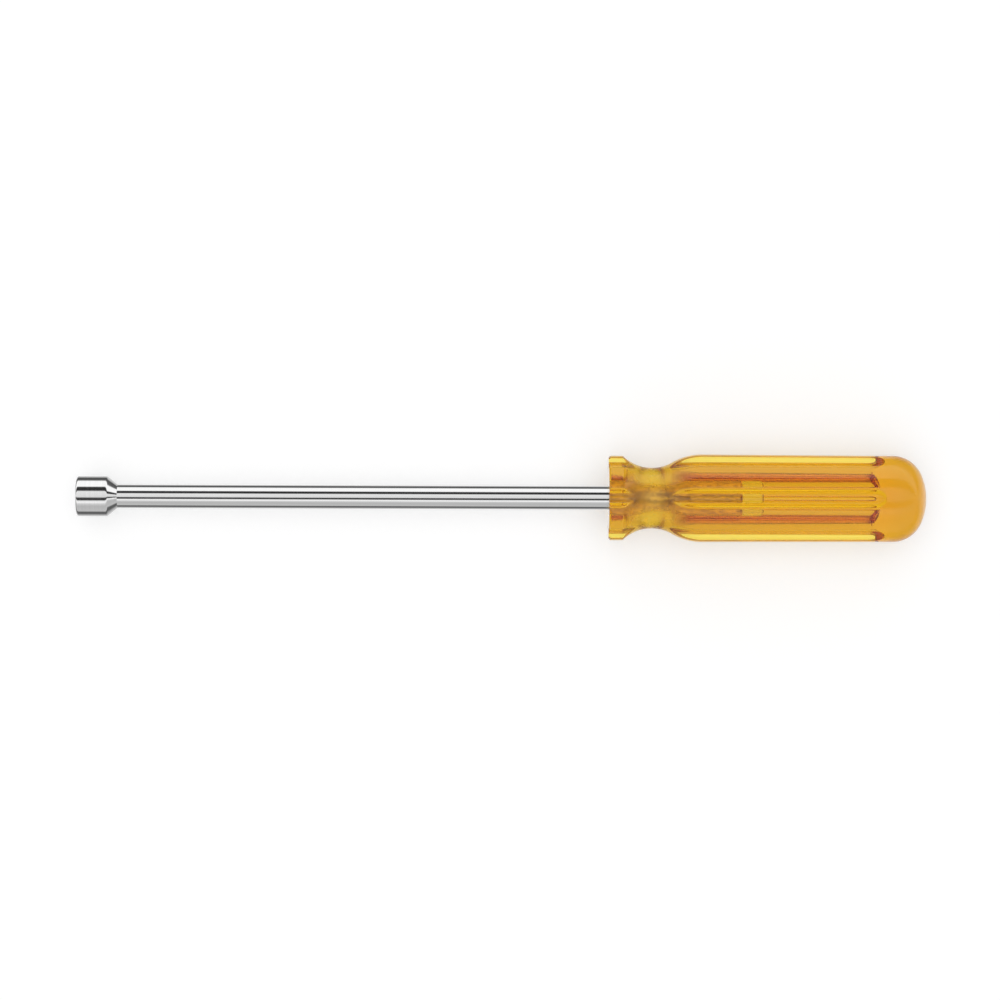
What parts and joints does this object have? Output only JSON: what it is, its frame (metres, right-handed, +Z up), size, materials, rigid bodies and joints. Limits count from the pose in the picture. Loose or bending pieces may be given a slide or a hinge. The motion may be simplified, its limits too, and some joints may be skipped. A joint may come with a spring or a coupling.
{
  "type": "nut driver",
  "caption": "Hand nut driver: a clear amber fluted handle with a waisted neck and domed end, holding a long bright hollow shaft that ends in a hex socket for turning nuts.",
  "frame": {"origin": "centre of the socket's mouth, on the tool's axis", "axes": "+X along the tool's axis from the socket's mouth to the handle's domed end, +Z up with one flute of the handle facing up, +Y to the left when looking along +X"},
  "size_m": [0.2435, 0.025, 0.0248],
  "materials": {
    "amber_acetate": "clear amber cellulose acetate, polished, tinted right through",
    "shaft_chrome": "bright chrome plate over ground steel, fine drawing lines along the shaft",
    "socket_chrome": "bright chrome plate over turned steel"
  },
  "bodies": {
    "root": {"handle": "amber_acetate", "shaft": "shaft_chrome", "socket": "socket_chrome"}
  },
  "joints": []
}
